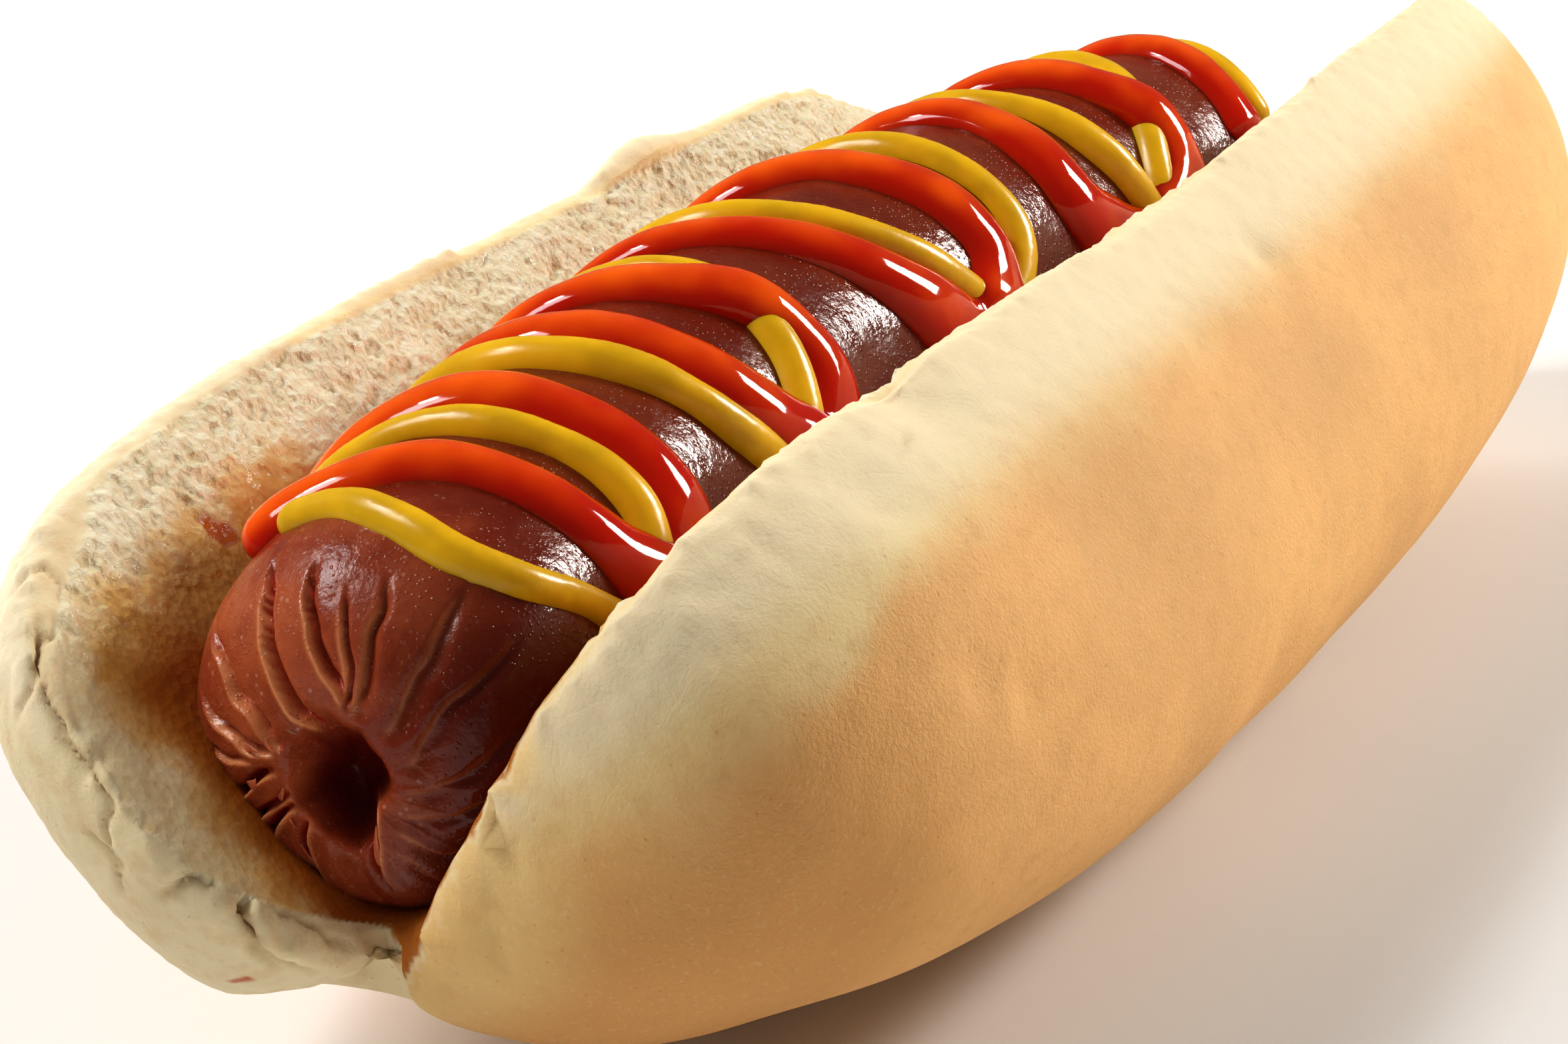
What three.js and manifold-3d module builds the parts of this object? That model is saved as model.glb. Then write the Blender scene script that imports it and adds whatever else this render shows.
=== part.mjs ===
// A hot dog: a soft roll opened along its top, a frankfurter in the cut, and two zigzag
// beads of sauce laid across the frankfurter.
//
// Millimetres, +Z up. X runs along the roll, with the frankfurter's open end at -X.
// The origin is the middle of the underside. The roll's two halves meet in a hinge below
// the frankfurter: the right half leans towards -Y and the left half towards +Y.

import * as THREE from 'three';
import { mergeVertices } from 'three/addons/utils/BufferGeometryUtils.js';
import Module from 'manifold-3d';

const manifoldLibrary = await Module();
manifoldLibrary.setup();

// ---------------------------------------------------------------- driving dimensions

const FRANK = {
  diameter: 26, length: 139.5, capLength: 11.4, capPower: 2.4,
  middle: { x: -9.1, y: 4.2, z: 31.4 }, endDrop: 3.4, endSwing: -5.6,
};
// The tied end closes in a puckered hole, and creases run out of it over the cap.
const NAVEL = { depth: 7, radius: 3.1 };
const CREASES = { count: 13, depth: 0.8, nearest: 2.5, deepest: 10, reach: 24 };

// The roll is bent like the frankfurter, and its ends turn up.
const RIGHT_HALF = {
  side: -1, lean: 31.9, opening: 0, hinge: { y: -1.1, z: 12.4 },
  length: 166.6, middle: 3.8, endPower: 3.14, tipShift: -16.4,
  breadth: 43, breadthMiddle: 13.9, thickness: 28.5, sectionPower: 2.05,
  endSwing: -6.2, frontRise: 9.7, farRise: 12.6,
};
const LEFT_HALF = {
  side: 1, lean: 40.7, opening: 25.6, hinge: { y: 4.1, z: 11.2 },
  length: 166.8, middle: -4.3, endPower: 3.07, tipShift: -2,
  breadth: 47.2, breadthMiddle: 15.5, thickness: 17.6, sectionPower: 2.56,
  endSwing: -6.4, frontRise: 7.6, farRise: 8.1,
};
const HINGE = {
  length: 155.7, middle: 1.1, endPower: 3, centre: { y: 0, z: 8.8 },
  width: 43.3, height: 19, sectionPower: 2.3,
  endSwing: -8.2, frontRise: 6, farRise: 10.6,
};
// The left half falls further open, by its opening in degrees, between these shares of
// the way from its middle to its far end.
const OPENING_FROM = 0.4;
const OPENING_TO = 0.95;
// The torn crumb swells a little out of each cut face.
const FACE_SWELL = 0.6;

// Each strand crosses the frankfurter. It is given by its place along X at its left end,
// over the top and at its right end, and neighbouring strands join in a turn.
const KETCHUP = {
  width: 4.3, height: 4.4, strandAngle: 62, turnAngle: 84,
  strands: [
    [-69, -62.8, -60], [-54.5, -52.3, -52.2], [-43, -41.2, -36.6],
    [-34.5, -31.4, -27], [-24.5, -19.4, -10.4], [-6, -1.6, 1.4],
    [14, 17.3, 18], [30.5, 33.4, 35], [50.5, 50, 48],
  ],
};
const MUSTARD = {
  width: 3.3, height: 3.8, strandAngle: 58, turnAngle: 78,
  strands: [
    [-70.6, -70, -66.8], [-57, -56.4, -56.2], [-46, -45.2, -40.6],
    [-28.6, -27.7, -32.2], [-17.5, -15, -5.4], [5, 5.8, 6.6],
    [23.4, 22.4, 26.6], [41.6, 40.2, 31.8], [56, 53.6, 51.6],
  ],
};
const BEAD_COLUMNS = 6;
const BEAD_STEP = 5.4;

// Clear space between the roll and what lies in it.
const CLEARANCE = 0.35;

const FRANK_GRID = { rows: 38, columns: 39, capRows: 10 };
const HALF_GRID = { rows: 30, columns: 28 };

// ---------------------------------------------------------------- shared geometry

const radians = (degrees) => degrees * Math.PI / 180;

const signedPower = (value, power) => Math.sign(value) * Math.abs(value) ** power;

const endTaper = (along, power) => Math.max(0, 1 - Math.abs(along) ** power) ** (1 / power);

// A closed skin with a pole at each end. pointAt(row, turn) gets the row's number, counted
// from the -X pole, and the angle round the skin.
function loft(rows, columns, pointAt) {
  const geometry = new THREE.SphereGeometry(1, columns, rows);
  const place = geometry.attributes.position;
  for (let i = 0; i < place.count; i += 1) {
    const row = Math.floor(i / (columns + 1));
    const column = i % (columns + 1) % columns;
    const point = pointAt(row, 2 * Math.PI * column / columns);
    place.setXYZ(i, point.x, point.y, point.z);
  }
  geometry.deleteAttribute('normal');
  geometry.deleteAttribute('uv');
  return facingOut(mergeVertices(geometry, 1e-4));
}

function signedVolume(geometry) {
  const place = geometry.attributes.position;
  const corners = [new THREE.Vector3(), new THREE.Vector3(), new THREE.Vector3()];
  let sixfold = 0;
  for (let i = 0; i < geometry.index.count; i += 3) {
    corners.forEach((corner, k) => corner.fromBufferAttribute(place, geometry.index.getX(i + k)));
    sixfold += corners[0].dot(corners[1].clone().cross(corners[2]));
  }
  return sixfold / 6;
}

function facingOut(geometry) {
  if (signedVolume(geometry) < 0) {
    geometry.index.array.reverse();
  }
  return geometry;
}

function toSolid(geometry) {
  return new manifoldLibrary.Manifold(new manifoldLibrary.Mesh({
    numProp: 3,
    vertProperties: Float32Array.from(geometry.attributes.position.array),
    triVerts: Uint32Array.from(geometry.index.array),
  }));
}

function toGeometry(solid) {
  const mesh = solid.getMesh();
  const geometry = new THREE.BufferGeometry();
  geometry.setAttribute('position', new THREE.BufferAttribute(mesh.vertProperties, 3));
  geometry.setIndex(new THREE.BufferAttribute(mesh.triVerts, 1));
  geometry.computeVertexNormals();
  return geometry;
}

// ---------------------------------------------------------------- frankfurter

// The frame of the frankfurter's section, x along its own length from its middle.
function frankFrame(x) {
  const half = FRANK.length / 2;
  const share = x / half;
  const centre = new THREE.Vector3(
    FRANK.middle.x + x,
    FRANK.middle.y + FRANK.endSwing * share * share,
    FRANK.middle.z - FRANK.endDrop * share * share,
  );
  const ahead = new THREE.Vector3(
    1,
    2 * FRANK.endSwing * share / half,
    -2 * FRANK.endDrop * share / half,
  ).normalize();
  const left = new THREE.Vector3(0, 0, 1).cross(ahead).normalize();
  const up = new THREE.Vector3().crossVectors(ahead, left);
  return { centre, left, up };
}

// A point at a radius off the frankfurter's axis. The angle is 0 on top, and grows
// towards the right half of the roll.
function aroundFrank(x, angle, radius) {
  const { centre, left, up } = frankFrame(x);
  return centre
    .addScaledVector(up, radius * Math.cos(angle))
    .addScaledVector(left, -radius * Math.sin(angle));
}

function frankRadius(x) {
  const intoCap = Math.max(0, Math.abs(x) - FRANK.length / 2 + FRANK.capLength);
  const share = Math.min(1, intoCap / FRANK.capLength);
  return FRANK.diameter / 2 * Math.sqrt(1 - share ** FRANK.capPower);
}

// Where a row of the skin lies: evenly spaced on the sides, and by angle on the caps.
function frankRow(row) {
  const { rows, capRows } = FRANK_GRID;
  const half = FRANK.length / 2;
  const fromEnd = Math.min(row, rows - row);
  const sign = row * 2 < rows ? -1 : 1;
  if (fromEnd >= capRows) {
    const share = (fromEnd - capRows) / (rows / 2 - capRows);
    return { x: sign * (1 - share) * (half - FRANK.capLength), radius: FRANK.diameter / 2 };
  }
  const angle = Math.PI / 2 * fromEnd / capRows;
  const reach = Math.cos(angle) ** (2 / FRANK.capPower);
  return {
    x: sign * (half - FRANK.capLength + FRANK.capLength * reach),
    radius: FRANK.diameter / 2 * Math.sin(angle),
  };
}

// How deep the creases of the tied end are, at a distance back from its tip.
function creaseDepth(fromTip, angle) {
  const { count, depth, nearest, deepest, reach } = CREASES;
  const rise = THREE.MathUtils.smoothstep(fromTip, 0, nearest);
  const fall = 1 - THREE.MathUtils.smoothstep(fromTip, deepest, reach);
  const uneven = 0.7 + 0.3 * Math.sin(3 * angle + 1);
  return depth * rise * fall * uneven * (0.5 + 0.5 * Math.cos(count * angle)) ** 2;
}

function frankSkin(growth) {
  const half = FRANK.length / 2;
  return loft(FRANK_GRID.rows, FRANK_GRID.columns, (row, turn) => {
    const { x, radius } = frankRow(row);
    const pucker = NAVEL.depth * Math.exp(-((radius / NAVEL.radius) ** 2));
    const inward = growth > 0 ? 0 : pucker;
    const crease = growth > 0 || x > 0 ? 0 : creaseDepth(x + half, turn);
    const shrunk = Math.max(0, radius - crease * Math.min(1, radius / NAVEL.radius));
    const stretched = x * (1 + growth / half) - Math.sign(x) * inward;
    return aroundFrank(stretched, turn, row % FRANK_GRID.rows === 0 ? 0 : shrunk + growth);
  });
}

// ---------------------------------------------------------------- sauce

// The bead's route over the frankfurter, as x along its length and the angle round it.
function beadRoute({ strands, strandAngle, turnAngle }) {
  const route = [];
  strands.forEach(([left, top, right], index) => {
    const strand = [[left, -strandAngle], [top, 0], [right, strandAngle]];
    const ordered = index % 2 === 0 ? strand : strand.reverse();
    if (index > 0) {
      const [before, side] = route[route.length - 1];
      route.push([(before + ordered[0][0]) / 2, Math.sign(side) * turnAngle]);
    }
    route.push(...ordered);
  });
  const across = FRANK.diameter / 2;
  return new THREE.CatmullRomCurve3(route.map(([x, angle]) => (
    new THREE.Vector3(x - FRANK.middle.x, radians(angle) * across, 0)
  )), false, 'centripetal');
}

function beadSkin(sauce, growth) {
  const route = beadRoute(sauce);
  const rows = Math.round(route.getLength() / BEAD_STEP);
  const half = FRANK.diameter / 2;
  return loft(rows, BEAD_COLUMNS, (row, turn) => {
    const share = row / rows;
    const here = route.getPointAt(share);
    const heading = route.getTangentAt(share);
    const angle = here.y / half;
    const taper = endTaper(2 * share - 1, 40);
    const aside = (sauce.width / 2 * taper + growth) * Math.cos(turn);
    const above = (sauce.height / 2 * taper + growth) * Math.sin(turn);
    const isPole = row === 0 || row === rows;
    const x = here.x + (isPole ? 0 : heading.y * aside);
    const spun = angle - (isPole ? 0 : heading.x * aside / half);
    return aroundFrank(x, spun, frankRadius(here.x) + (isPole ? 0 : above));
  });
}

// The frankfurter with both beads on it. A growth above 0 gives the space it needs.
function frankWithSauce(growth) {
  return [frankSkin(growth), beadSkin(MUSTARD, growth), beadSkin(KETCHUP, growth)]
    .map(toSolid)
    .reduce((whole, piece) => whole.add(piece));
}

// ---------------------------------------------------------------- roll

const endRise = (piece, along) => (
  (along < 0 ? piece.frontRise : piece.farRise) * along * along
);

// One half of the roll: a flat cut face with a domed crust behind it.
function rollHalf(half) {
  const { rows, columns } = HALF_GRID;
  return loft(rows, columns, (row, turn) => {
    const along = -Math.cos(Math.PI * row / rows);
    const taper = endTaper(along, half.endPower);
    const fallen = THREE.MathUtils.smoothstep(along, OPENING_FROM, OPENING_TO);
    const lean = radians(half.lean + half.opening * fallen);
    const up = half.breadthMiddle + half.tipShift * (1 - taper)
      + half.breadth / 2 * signedPower(Math.cos(turn), 2 / half.sectionPower) * taper;
    const depth = signedPower(Math.sin(turn), 2 / half.sectionPower) * taper;
    const out = depth * (depth > 0 ? half.thickness : FACE_SWELL);
    return new THREE.Vector3(
      half.middle + half.length / 2 * along,
      half.hinge.y + half.side * (up * Math.sin(lean) + out * Math.cos(lean))
        + half.endSwing * along * along,
      half.hinge.z + up * Math.cos(lean) - out * Math.sin(lean) + endRise(half, along),
    );
  });
}

// The uncut crust and crumb that join the halves underneath.
function rollHinge() {
  const { rows, columns } = HALF_GRID;
  return loft(rows, columns, (row, turn) => {
    const along = -Math.cos(Math.PI * row / rows);
    const taper = endTaper(along, HINGE.endPower);
    const across = signedPower(Math.cos(turn), 2 / HINGE.sectionPower) * taper;
    const above = signedPower(Math.sin(turn), 2 / HINGE.sectionPower) * taper;
    return new THREE.Vector3(
      HINGE.middle + HINGE.length / 2 * along,
      HINGE.centre.y + HINGE.width / 2 * across + HINGE.endSwing * along * along,
      HINGE.centre.z + HINGE.height / 2 * above + endRise(HINGE, along),
    );
  });
}

// Everything below the level that the roll rests on.
function groundBlock() {
  const size = 2 * RIGHT_HALF.length;
  const block = new THREE.BoxGeometry(size, size, size);
  block.translate(0, 0, -size / 2);
  block.deleteAttribute('normal');
  block.deleteAttribute('uv');
  return mergeVertices(block, 1e-4);
}

function roll() {
  return toSolid(rollHalf(RIGHT_HALF))
    .add(toSolid(rollHalf(LEFT_HALF)))
    .add(toSolid(rollHinge()))
    .subtract(frankWithSauce(CLEARANCE))
    .subtract(toSolid(groundBlock()));
}

// ---------------------------------------------------------------- the hot dog

function addPiece(group, name, solid, look) {
  const material = new THREE.MeshStandardMaterial(look);
  const mesh = new THREE.Mesh(toGeometry(solid), material);
  mesh.name = name;
  group.add(mesh);
}

const hotDog = new THREE.Group();
addPiece(hotDog, 'bun', roll(), { color: 0xe3b477, roughness: 0.85, metalness: 0 });
addPiece(hotDog, 'sausage', frankWithSauce(0), { color: 0x8c3a26, roughness: 0.35, metalness: 0 });

export default hotDog;
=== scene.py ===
import math

import bpy
import numpy as np
from mathutils import Matrix, Vector


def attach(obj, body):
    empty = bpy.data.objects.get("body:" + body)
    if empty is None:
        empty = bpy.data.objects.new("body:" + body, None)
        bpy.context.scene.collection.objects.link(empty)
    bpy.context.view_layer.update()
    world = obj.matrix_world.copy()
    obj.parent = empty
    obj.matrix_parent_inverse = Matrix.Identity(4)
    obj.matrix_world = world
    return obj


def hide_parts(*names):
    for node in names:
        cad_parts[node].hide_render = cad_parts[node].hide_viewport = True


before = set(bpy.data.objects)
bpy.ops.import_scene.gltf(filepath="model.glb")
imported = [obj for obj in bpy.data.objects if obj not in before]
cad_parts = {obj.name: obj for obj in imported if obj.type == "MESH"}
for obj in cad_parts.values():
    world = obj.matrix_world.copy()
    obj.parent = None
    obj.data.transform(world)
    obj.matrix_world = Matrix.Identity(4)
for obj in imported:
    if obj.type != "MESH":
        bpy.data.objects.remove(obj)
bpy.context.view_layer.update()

bl_info = {
    "name": "Hot Dog",
    "version": (1, 0, 0),
    "blender": (4, 5, 0),
    "location": "3D View > Sidebar > Hot Dog",
    "description": "Models a hot dog with ketchup and mustard over its plain solids",
    "category": "Add Mesh",
}

# ------------------------------------------------------------------ driving dimensions
# Millimetres and degrees, in the frame of the solids.

MM = 0.001

FRANK = {
    "diameter": 26.0, "length": 139.5, "cap_length": 11.4, "cap_power": 2.4,
    "middle": (-9.1, 4.2, 31.4), "end_drop": 3.4, "end_swing": -5.6,
}
NAVEL = {"depth": 5.6, "slant": (0.36, -0.38), "dimple": 0.8, "dimple_width": 6.0}
# The drawn-in hole's outline by angle: its radius, and how steeply its side falls.
NAVEL_RIM = [
    (-180, 5.0, 2.2), (-160, 4.5, 2.0), (-126, 4.1, 1.7), (-103, 4.0, 1.4), (-75, 3.5, 1.2),
    (-56, 3.8, 1.1), (-23, 4.3, 1.1), (-8, 4.0, 1.4), (8, 3.4, 2.2), (36, 3.1, 3.2), (58, 2.9, 3.6),
    (101, 3.0, 3.6), (130, 2.8, 3.4), (150, 3.2, 3.0), (166, 4.6, 2.6), (180, 5.0, 2.2),
]

# Pleats of the tied end: where each runs (distance along the skin, angle), how deep its
# recess is and how wide, and how much casing edge stands beside it.
PLEATS = [
    ([(15.8, -25), (14.5, -26), (10.9, -28), (9.0, -31), (7.4, -32), (4.8, -34), (3.6, -27)], 1.5, 0.9, 1.0),
    ([(14.2, -10), (13.0, -10), (11.2, -11), (9.3, -9), (8.1, -7), (6.8, -3), (5.4, 6)], 1.3, 0.8, 0.9),
    ([(12.2, 3), (11.2, 3), (9.3, 5), (7.1, 9), (5.4, 9)], 0.9, 0.42, 0.8),
    ([(13.8, 14), (12.4, 15), (10.9, 16), (9.0, 15), (7.1, 17), (4.8, 19)], 0.8, 0.9, 0.5),
    ([(15.0, -55), (11.8, -55), (10.0, -55), (8.4, -58), (6.5, -59), (4.8, -68)], 1.1, 0.75, 0.7),
    ([(12.8, -72), (11.5, -74), (9.3, -76), (7.8, -76), (6.5, -79), (5.2, -76)], 1.0, 0.65, 0.7),
    ([(12.0, -96), (10.9, -100), (10.3, -105), (8.1, -106), (6.5, -100), (5.2, -93)], 1.3, 0.75, 0.75),
    ([(11.0, -123), (9.0, -121), (7.0, -118), (4.8, -114)], 1.0, 0.6, 0.9),
    ([(11.8, -143), (9.3, -139), (7.1, -128), (5.0, -123)], 1.1, 0.65, 1.0),
    ([(11.5, -162), (8.7, -159), (6.8, -150), (5.0, -141)], 1.1, 0.65, 0.9),
    ([(9.0, 173), (6.1, 169), (4.0, 158), (2.6, 142)], 1.2, 1.0, 0.9),
    ([(16.0, 34), (13.0, 36), (10.3, 38), (7.1, 42), (4.8, 48)], 0.50, 1.4, 0.25),
    ([(15.0, 55), (10.6, 57), (8.4, 57), (6.5, 63), (4.8, 78)], 0.50, 1.3, 0.2),
    ([(14.0, 76), (10.0, 81), (7.0, 92), (4.6, 100)], 0.45, 1.1, 0.2),
    ([(12.0, 100), (8.5, 104), (6.8, 113), (5.0, 122)], 0.50, 0.8, 0.4),
    ([(12.0, 122), (9.0, 128), (7.5, 137), (5.2, 140)], 0.50, 0.8, 0.4),
    ([(12.0, 146), (9.0, 150), (6.5, 152)], 0.40, 0.7, 0.3),
    ([(11.0, -88), (9.0, -89), (6.8, -87)], 0.5, 0.4, 0.6),
]
# How far the pleats reach along the skin, and about how much of it a degree is there.
PLEATED, SKIN_PER_DEGREE = 19, 0.15
# Curled bits of casing: from root to tip (distance along the skin, angle), width and lift.
FLAPS = [
    ((6.8, -79), (5.2, -73), 0.7, 0.2), ((7.0, -104), (5.5, -93), 1.0, 0.25),
    ((5.0, -113), (3.9, -103), 0.6, 0.2), ((5.6, -134), (4.5, -126), 0.7, 0.25),
    ((9.0, -139), (7.2, -128), 1.1, 0.25), ((8.8, -159), (5.6, -143), 0.6, 0.25),
    ((6.4, 170), (3.2, 145), 0.5, 0.2), ((5.2, -36), (3.7, -28), 0.45, 0.1),
    ((4.6, -47), (3.5, -41), 0.45, 0.1), ((5.4, -66), (4.2, -71), 0.45, 0.15),
]

# The halves and the hinge. A half leans away from upright, and falls open further towards its far end.
RIGHT_HALF = {
    "side": -1, "lean": 31.9, "opening": 0.0, "hinge": (-1.1, 12.4),
    "length": 166.6, "middle": 3.8, "end_power": 3.14, "tip_shift": -16.4,
    "breadth": 43.0, "breadth_middle": 13.9, "thickness": 28.5, "section_power": 2.05,
    "end_swing": -6.2, "front_rise": 9.7, "far_rise": 12.6,
}
LEFT_HALF = {
    "side": 1, "lean": 40.7, "opening": 25.6, "hinge": (4.1, 11.2),
    "length": 166.8, "middle": -4.3, "end_power": 3.07, "tip_shift": -2.0,
    "breadth": 47.2, "breadth_middle": 15.5, "thickness": 17.6, "section_power": 2.56,
    "end_swing": -6.4, "front_rise": 7.6, "far_rise": 8.1,
}
HINGE = {
    "length": 155.7, "middle": 1.1, "end_power": 3.0, "centre": (0.0, 8.8),
    "width": 43.3, "height": 19.0, "section_power": 2.3,
    "end_swing": -8.2, "front_rise": 6.0, "far_rise": 10.6,
}
# Shares of a half's length over which it falls open further.
OPENING_FROM, OPENING_TO = 0.4, 0.95
# How far the cut faces bulge.
FACE_SWELL = 0.6
# Rows and columns of the meshes that the pieces start from.
FRANK_MESH, FLAP_MESH, HALF_MESH, HINGE_MESH = (236, 410), (24, 16), (220, 150), (160, 110)
BEAD_COLUMNS = 28

# Cracks in the crust: points on it, depth and width.
CRACKS = [
    ([(-75.3, 17.4, 38.1), (-78.6, 16.6, 38.1), (-81.3, 15.3, 37.4), (-84.5, 13.9, 36.8),
      (-86.2, 12.7, 35.8), (-87.1, 11.6, 33.9), (-87.4, 9.5, 31.4), (-87.6, 7.9, 29.4),
      (-87.5, 8.8, 27.9), (-87.4, 8.1, 26.2), (-86.9, 7.7, 23.1)], 0.5, 0.45),
    ([(-82.7, 15.4, 37.9), (-84.5, 14.1, 36.9), (-86.1, 13.9, 35.6), (-86.3, 15.0, 33.1)], 0.5, 0.5),
    ([(-82.3, 10.7, 32.5), (-85.0, 9.6, 32.2), (-84.8, 8.8, 31.2), (-83.4, 8.7, 30.6)], 0.4, 0.4),
    ([(-83.5, 7.0, 28.7), (-83.3, 5.6, 27.0), (-84.3, 4.6, 26.0), (-87.3, 4.1, 24.9),
      (-87.3, 5.0, 23.9)], 0.4, 0.45),
    ([(-78.7, -1.1, 17.4), (-79.8, -0.5, 18.5), (-80.6, 0.5, 20.1), (-81.8, 1.0, 21.0),
      (-84.0, 2.0, 22.8), (-85.6, 1.1, 21.4), (-84.5, 1.4, 19.6), (-83.0, 0.9, 18.1),
      (-80.7, 0.4, 16.4)], 0.8, 0.5),
    ([(-79.1, -12.0, 28.2), (-79.2, -11.8, 24.6), (-79.2, -11.7, 21.3), (-79.1, -11.3, 17.6)], 1.2, 0.8),
    ([(-50.4, -24.8, 40.5), (-46.3, -24.0, 41.2)], 0.2, 0.5),
    ([(-64, 24.5, 38.5), (-58, 27.5, 38.0), (-50, 29.8, 37.6)], 0.35, 0.6),
    ([(-87.3, 10.3, 27.2), (-87.3, 9.0, 26.1), (-86.8, 8.7, 23.4)], 0.5, 0.45),
    ([(-80.1, 1.7, 21.4), (-84.2, 1.7, 22.6), (-85.6, 1.1, 21.5), (-84.3, 1.8, 19.0),
      (-82.7, 1.5, 17.4)], 0.6, 0.45),
    ([(-82.2, 11.7, 33.6), (-82.6, 9.8, 31.6), (-82.6, 8.8, 30.4)], 0.4, 0.4),
    ([(-87.3, 5.7, 23.6), (-86.6, 3.2, 25.0), (-84.8, 2.6, 23.8)], 0.5, 0.45),
    ([(-81.3, 18.3, 38.9), (-78.4, 18.1, 39.0), (-79.2, 15.9, 37.5)], 0.3, 0.45),
    ([(-78.2, -5.0, 20.4), (-76.8, -2.8, 17.8), (-76.3, -1.6, 15.9), (-75.8, -1.0, 14.4),
      (-75.2, -0.9, 12.6), (-73.4, -0.7, 10.4), (-70.5, -0.4, 7.5), (-67.0, -0.2, 5.0)], 1.9, 1.3),
]
# The fold across the right half's crust, with its front side lower.
FOLD = [(-59.0, -20.6, 42.6), (-58.2, -22.4, 41.5), (-56.7, -26.0, 38.6), (-53.0, -28.4, 37.0)]
# Dents and lumps of the roll: where, how wide and how high.
DENTS = [
    ((8.4, -26.5, 37.2), 2.0, -0.6), ((13.0, 29.0, 41.5), 5.0, 1.3), ((4.6, 28.8, 40.6), 1.6, -0.5),
    ((-56.6, -32.2, 29.6), 2.2, -0.35), ((-52.5, -33.8, 27.2), 2.0, -0.35), ((-35, -32, 31), 6.0, -0.5),
    ((-68.5, -29.6, 20.2), 6.0, -0.4), ((-12.7, -33.4, 10.7), 5.0, -0.5), ((-84, 9, 20), 5.0, 0.5),
    ((-76.2, 0.6, 13.0), 2.0, -1.2), ((-74.4, 2.4, 10.2), 3.0, -3.6), ((-83.0, 5.8, 15.0), 3.0, 0.9),
    ((-43.5, -22.0, 42.5), 4.0, -1.2),
]
# Heights up to which the left half's stained crumb is smooth, and from which it is torn.
SMOOTH_BELOW, TORN_ABOVE = 33.8, 38.2
# How far the crumb lies under the frankfurter's skin where it is pressed.
PRESSED_IN = 0.3
# Spots of sauce on the roll: where and how wide.
SMEARS = [((-61.3, 18.2, 35.6), 1.5), ((-83.4, 3.5, 17.1), 0.4)]
# Distances towards the near end at which each thing sets in, and is full.
FRONT = {
    "crust_edge": (68, 78), "unstained": (78, 83), "soaked": (38, 52), "tanned": (57, 68),
    "soft_edge": (70, 78), "pale_tip": (66, 74), "pale_cleft": (71.5, 75.5), "pale_side": (58, 72),
    "grainy": (70, 76), "dry": (79, 85), "drying": (78, 80),
}
# Boxes of the roll that need a finer mesh, by their low and high corners.
BEYOND = 1000
LEFT_FRONT = ((-BEYOND, -6, 5), (-60, BEYOND, BEYOND))
LEFT_TIP = ((-BEYOND, -3, 14), (-72, BEYOND, BEYOND))
CLEFT = ((-BEYOND, -4, -BEYOND), (-66, 2, 20))
RIGHT_TOP = ((-BEYOND, -BEYOND, 26), (BEYOND, -10, BEYOND))
# Height on the right half above which its crust stays pale, along its length.
PALE_ABOVE = [
    (-84.0, 2.0), (-80.0, 8.0), (-77.8, 16.5), (-76.0, 23.5), (-74.0, 29.5), (-68.2, 32.0), (-60.0, 35.5),
    (-53.8, 37.0), (-42.3, 37.2), (-26.8, 37.2), (0.0, 37.0), (40.0, 38.0), (70.0, 40.0), (86.0, 43.0),
]

# The beads of sauce: each strand's places along the roll on the left, on top and on the right,
# and the first strand's start as places along the roll and angles.
KETCHUP = {
    "width": 5.3, "height": 3.9, "lift": -0.3, "uneven": 0.16, "pooled": 0.3, "start_size": 0.86,
    "strand_angle": 62.0, "turn_angle": 84.0,
    "start": [(-67.4, -50), (-65.0, -26), (-62.8, 0)],
    "strands": [
        (-69, -62.8, -60), (-54.5, -52.3, -52.2), (-43, -41.2, -36.6),
        (-34.5, -31.4, -27), (-24.5, -19.4, -10.4), (-6, -1.6, 1.4),
        (14, 17.3, 18), (30.5, 33.4, 35), (50.5, 50, 48),
    ],
}
MUSTARD = {
    "width": 3.1, "height": 3.2, "lift": -0.15, "uneven": 0.22, "pooled": 0.0, "start_size": 0.76,
    "strand_angle": 58.0, "turn_angle": 78.0,
    "start": [(-68.2, -33), (-68.3, -12), (-69.8, 8), (-70.8, 27), (-69.6, 45)],
    "strands": [
        (-70.6, -70, -66.8), (-57, -56.4, -56.2), (-46, -45.2, -40.6),
        (-28.6, -27.7, -31.0), (-17.5, -15, -5.4), (5, 5.8, 6.6),
        (23.4, 22.4, 26.6), (41.6, 40.2, 31.8), (56, 53.6, 51.6),
    ],
}
# Angle round the frankfurter at which the ketchup pools, and how far the pool spreads.
POOL_ANGLE, POOL_SPREAD = 78, 22

# Colours, as red, green and blue.
BREAD = {
    "cream": (0.86, 0.70, 0.38), "deep_cream": (0.82, 0.63, 0.31), "grey_cream": (0.77, 0.66, 0.44),
    # The tan colours of the right half's near end are its bake, darkened further as painted shade where that
    # end faces away from the light.
    "tanned": (0.62, 0.31, 0.105), "tanned_cream": (0.72, 0.44, 0.155), "speckle": (0.62, 0.33, 0.12),
    "flour": (0.90, 0.76, 0.52), "pore": (0.50, 0.22, 0.06), "rim": (0.86, 0.75, 0.54),
    # The colour for the cracks is painted shade, darker down in them.
    "crack": (0.50, 0.32, 0.14), "crumb": (0.81, 0.75, 0.55), "deep_crumb": (0.73, 0.65, 0.42),
    # The colour for the crumb's gaps is painted shade.
    # The unsoaked crumb colour is partly painted light.
    "gap": (0.70, 0.55, 0.31), "froth": (0.88, 0.84, 0.67), "dry": (0.82, 0.67, 0.39),
    # The colour beside the frankfurter is partly stain and partly painted contact shade.
    "soaked": (0.66, 0.36, 0.085), "light_soaked": (0.79, 0.53, 0.20), "close": (0.38, 0.115, 0.008),
    "sauce": (0.50, 0.11, 0.008),
}
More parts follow.
